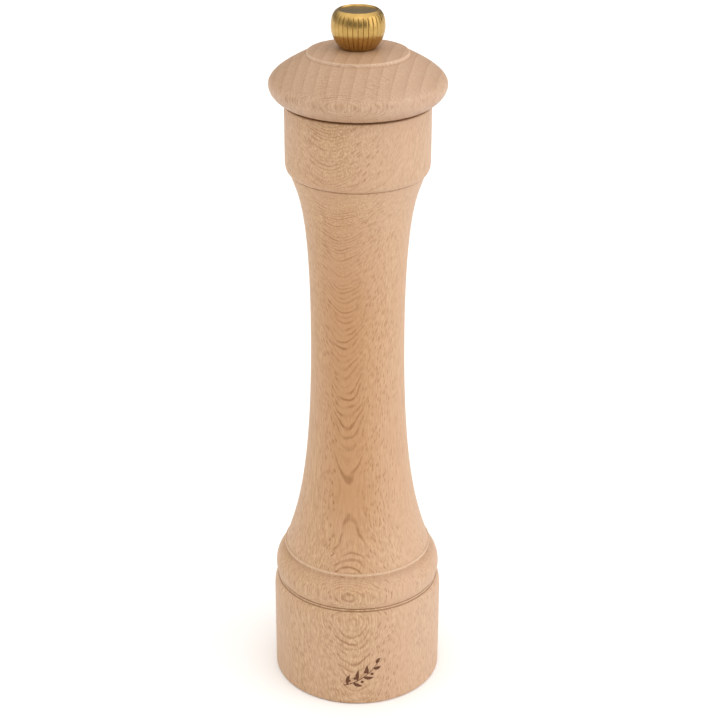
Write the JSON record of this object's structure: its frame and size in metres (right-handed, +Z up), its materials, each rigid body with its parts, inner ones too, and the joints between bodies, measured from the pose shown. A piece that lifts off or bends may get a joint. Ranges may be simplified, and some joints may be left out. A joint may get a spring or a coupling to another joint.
{
  "type": "pepper mill",
  "caption": "Tall turned wooden pepper mill with a domed head, a fluted brass knob that sets the grind, and a steel grinder in the foot.",
  "frame": {"origin": "centre of the foot's underside, where the mill stands", "axes": "+Z up along the turning axis, -Y towards the front"},
  "size_m": [0.061, 0.061, 0.2485],
  "materials": {
    "beech_body": "turned beech, fine open grain, satin lacquer",
    "beech_head": "turned beech, end and face grain, satin lacquer",
    "brass_knob": "turned and fluted brass, polished, lacquered",
    "spindle_steel": "drawn square rod, bright",
    "grinder_steel": "case-hardened cut steel, dark satin",
    "plate_steel": "stamped plated sheet",
    "spring_steel": "drawn spring wire",
    "screw_steel": "zinc-plated wood screws"
  },
  "bodies": {
    "body": {"mill_body": "beech_body", "female_grinder": "grinder_steel", "bridge": "plate_steel", "retaining_plate": "plate_steel", "plate_screw_1": "screw_steel", "plate_screw_2": "screw_steel", "plate_screw_3": "screw_steel"},
    "turning_parts": {"spring_washer": "plate_steel", "spring": "spring_steel"},
    "head_group": {"head": "beech_head", "drive_plate": "plate_steel", "drive_screw_1": "screw_steel", "drive_screw_2": "screw_steel", "drive_screw_3": "screw_steel"},
    "knob_group": {"knob": "brass_knob"},
    "spindle_group": {"spindle": "spindle_steel", "spindle_clip": "spring_steel", "end_washer": "plate_steel", "male_grinder": "grinder_steel"}
  },
  "joints": [
    {"name": "head_turn", "type": "hinge", "parent": "body", "child": "turning_parts", "pos_m": [0, 0, 0.2], "axis": [0, 0, 1], "continuous": true},
    {"name": "head_lift", "type": "slide", "parent": "turning_parts", "child": "head_group", "axis": [0, 0, 1], "range_m": [0, 0.06]},
    {"name": "knob_turn", "type": "hinge", "parent": "head_group", "child": "knob_group", "pos_m": [0, 0, 0.242], "axis": [0, 0, 1], "range_deg": [-181, 1081]},
    {"name": "grind_adjust", "type": "slide", "parent": "turning_parts", "child": "spindle_group", "axis": [0, 0, 1], "range_m": [-0.0024, 0.0004], "deforming": ["spring"]}
  ],
  "couplings": [
    {"joint": "knob_turn", "follows": "grind_adjust", "rad_per_m": -7854}
  ]
}
